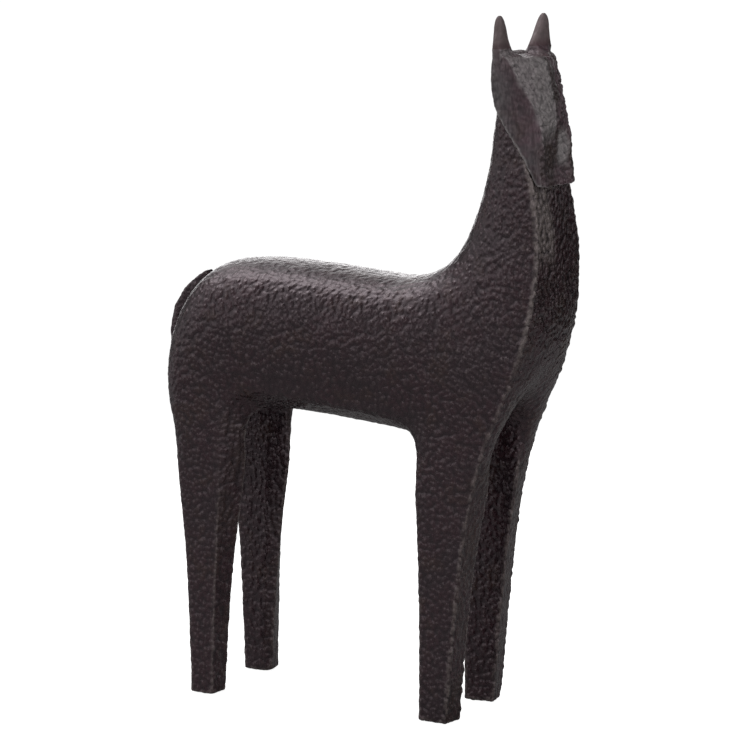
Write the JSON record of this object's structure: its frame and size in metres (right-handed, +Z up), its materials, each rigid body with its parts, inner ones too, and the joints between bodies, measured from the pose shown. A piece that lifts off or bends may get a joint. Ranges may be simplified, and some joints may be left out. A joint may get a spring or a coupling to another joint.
{
  "type": "bronze horse statuette",
  "caption": "Free-standing stylised horse on straight flat-faced legs, cast in bronze sections with pinned spigot joints, hammered skin, upright ears and felt sole pads.",
  "frame": {"origin": "on the ground under the middle of the bounding box, at the underside of the felt sole pads", "axes": "+X the way the horse faces, +Y its left side, +Z up"},
  "size_m": [0.2528, 0.0818, 0.4001],
  "materials": {
    "patinated_bronze": "cast bronze with a hammered skin and a dark brown-black waxed patina, lighter on edges",
    "smooth_bronze": "cast bronze filed smooth, brown patina",
    "pin_bronze": "bare drawn bronze rod",
    "felt": "black wool felt"
  },
  "bodies": {
    "root": {"torso": "patinated_bronze", "neck": "patinated_bronze", "head": "patinated_bronze", "ear_left": "smooth_bronze", "ear_right": "smooth_bronze", "tail": "patinated_bronze", "foreleg_left": "patinated_bronze", "foreleg_right": "patinated_bronze", "hindleg_left": "patinated_bronze", "hindleg_right": "patinated_bronze", "foreleg_pin_left": "pin_bronze", "foreleg_pin_right": "pin_bronze", "hindleg_pin_left": "pin_bronze", "hindleg_pin_right": "pin_bronze", "neck_pin_left": "pin_bronze", "neck_pin_right": "pin_bronze", "head_pin": "pin_bronze", "tail_pin": "pin_bronze", "ear_pin_left": "pin_bronze", "ear_pin_right": "pin_bronze", "belly_plug_fore": "patinated_bronze", "belly_plug_hind": "patinated_bronze", "sole_pad_foreleg_left": "felt", "sole_pad_foreleg_right": "felt", "sole_pad_hindleg_left": "felt", "sole_pad_hindleg_right": "felt"}
  },
  "joints": []
}
